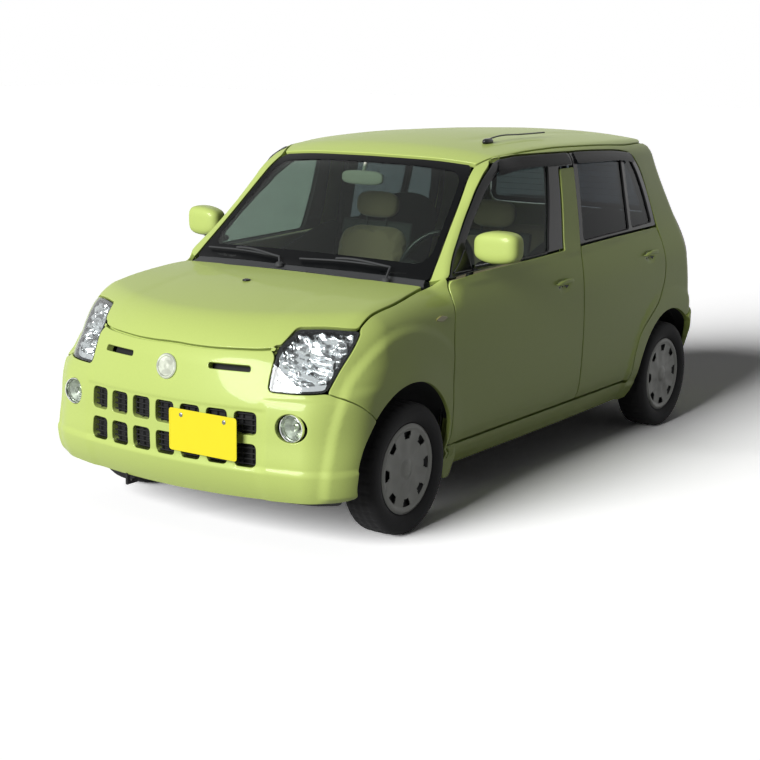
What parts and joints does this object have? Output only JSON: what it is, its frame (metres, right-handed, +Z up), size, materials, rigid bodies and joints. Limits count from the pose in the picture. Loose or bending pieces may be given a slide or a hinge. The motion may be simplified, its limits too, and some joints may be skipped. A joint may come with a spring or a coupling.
{
  "type": "kei car",
  "caption": "Small five-door kei hatchback with a tall cabin, opening doors, bonnet and tailgate, steered front wheels and rolling wheels.",
  "frame": {"origin": "on the ground, under the centre of the car's length and width", "axes": "+Z up, nose towards -Y, the car's left side towards +X"},
  "size_m": [1.744, 3.395, 1.4999],
  "materials": {
    "paint": "metallic lime green, clear coated",
    "window_glass": "green-grey tinted",
    "tyre": "matte black",
    "wheel_silver": "silver wheel cover on a steel rim",
    "trim_plastic": "grained dark grey",
    "engine_metal": "dull",
    "dark_steel": "black chassis paint",
    "seat_fabric": "beige-brown woven cloth",
    "lamp": "clear lens over a bright reflector",
    "plate_yellow": "plain yellow, blank"
  },
  "bodies": {
    "body": {"body_side_left": "paint", "body_side_right": "paint", "front_wings": "paint", "front_bumper": "paint", "rear_bumper": "paint", "roof": "paint", "windscreen": "window_glass", "floor_pan": "trim_plastic", "centre_pillars": "trim_plastic", "cowl": "trim_plastic", "dashboard": "trim_plastic", "engine": "engine_metal", "radiator": "engine_metal", "front_suspension": "dark_steel", "rear_axle": "dark_steel", "fuel_tank": "dark_steel", "tow_eyes": "dark_steel", "exhaust": "dark_steel", "front_seats": "seat_fabric", "rear_seat": "seat_fabric", "front_lamps": "lamp", "tail_lamps": "lamp", "front_plate": "plate_yellow"},
    "bonnet": {"bonnet": "paint"},
    "tailgate": {"tailgate": "paint", "tailgate_glass": "window_glass"},
    "steering_wheel": {"steering_wheel": "trim_plastic"},
    "front_door_left": {"door_front_left": "paint", "door_glass_front_left": "window_glass", "mirror_left": "paint"},
    "rear_door_left": {"door_rear_left": "paint", "door_glass_rear_left": "window_glass"},
    "knuckle_left": {"knuckle_left": "dark_steel"},
    "wheel_front_left": {"wheel_front_left": "wheel_silver", "tyre_front_left": "tyre"},
    "wheel_rear_left": {"wheel_rear_left": "wheel_silver", "tyre_rear_left": "tyre"},
    "front_door_right": {"door_front_right": "paint", "door_glass_front_right": "window_glass", "mirror_right": "paint"},
    "rear_door_right": {"door_rear_right": "paint", "door_glass_rear_right": "window_glass"},
    "knuckle_right": {"knuckle_right": "dark_steel"},
    "wheel_front_right": {"wheel_front_right": "wheel_silver", "tyre_front_right": "tyre"},
    "wheel_rear_right": {"wheel_rear_right": "wheel_silver", "tyre_rear_right": "tyre"}
  },
  "joints": [
    {"name": "front_door_left_hinge", "type": "hinge", "parent": "body", "child": "front_door_left", "pos_m": [0.725, -0.73, 0.6], "axis": [0.0523, 0, -0.9986], "range_deg": [0, 65]},
    {"name": "rear_door_left_hinge", "type": "hinge", "parent": "body", "child": "rear_door_left", "pos_m": [0.725, 0.382, 0.6], "axis": [0.0523, 0, -0.9986], "range_deg": [0, 65]},
    {"name": "steer_left", "type": "hinge", "parent": "body", "child": "knuckle_left", "pos_m": [0.575, -1.065, 0.266], "axis": [0, 0, 1], "range_deg": [-33, 33]},
    {"name": "front_wheel_left_spin", "type": "hinge", "parent": "knuckle_left", "child": "wheel_front_left", "pos_m": [0.6475, -1.065, 0.266], "axis": [1, 0, 0], "continuous": true},
    {"name": "rear_wheel_left_spin", "type": "hinge", "parent": "body", "child": "wheel_rear_left", "pos_m": [0.6475, 1.295, 0.266], "axis": [1, 0, 0], "continuous": true},
    {"name": "front_door_right_hinge", "type": "hinge", "parent": "body", "child": "front_door_right", "pos_m": [-0.725, -0.73, 0.6], "axis": [0.0523, 0, 0.9986], "range_deg": [0, 65]},
    {"name": "rear_door_right_hinge", "type": "hinge", "parent": "body", "child": "rear_door_right", "pos_m": [-0.725, 0.382, 0.6], "axis": [0.0523, 0, 0.9986], "range_deg": [0, 65]},
    {"name": "steer_right", "type": "hinge", "parent": "body", "child": "knuckle_right", "pos_m": [-0.575, -1.065, 0.266], "axis": [0, 0, 1], "range_deg": [-33, 33]},
    {"name": "front_wheel_right_spin", "type": "hinge", "parent": "knuckle_right", "child": "wheel_front_right", "pos_m": [-0.6475, -1.065, 0.266], "axis": [1, 0, 0], "continuous": true},
    {"name": "rear_wheel_right_spin", "type": "hinge", "parent": "body", "child": "wheel_rear_right", "pos_m": [-0.6475, 1.295, 0.266], "axis": [1, 0, 0], "continuous": true},
    {"name": "bonnet_hinge", "type": "hinge", "parent": "body", "child": "bonnet", "pos_m": [0, -0.85, 0.948], "axis": [-1, 0, 0], "range_deg": [0, 55]},
    {"name": "tailgate_hinge", "type": "hinge", "parent": "body", "child": "tailgate", "pos_m": [0, 1.42, 1.447], "axis": [1, 0, 0], "range_deg": [0, 78]},
    {"name": "steering_column", "type": "hinge", "parent": "body", "child": "steering_wheel", "pos_m": [0.33, -0.29, 0.935], "axis": [0, 0.8829, 0.4695], "range_deg": [-500, 500]}
  ],
  "couplings": [
    {"joint": "steer_right", "follows": "steer_left", "ratio": 1},
    {"joint": "steering_column", "follows": "steer_left", "ratio": 15}
  ]
}
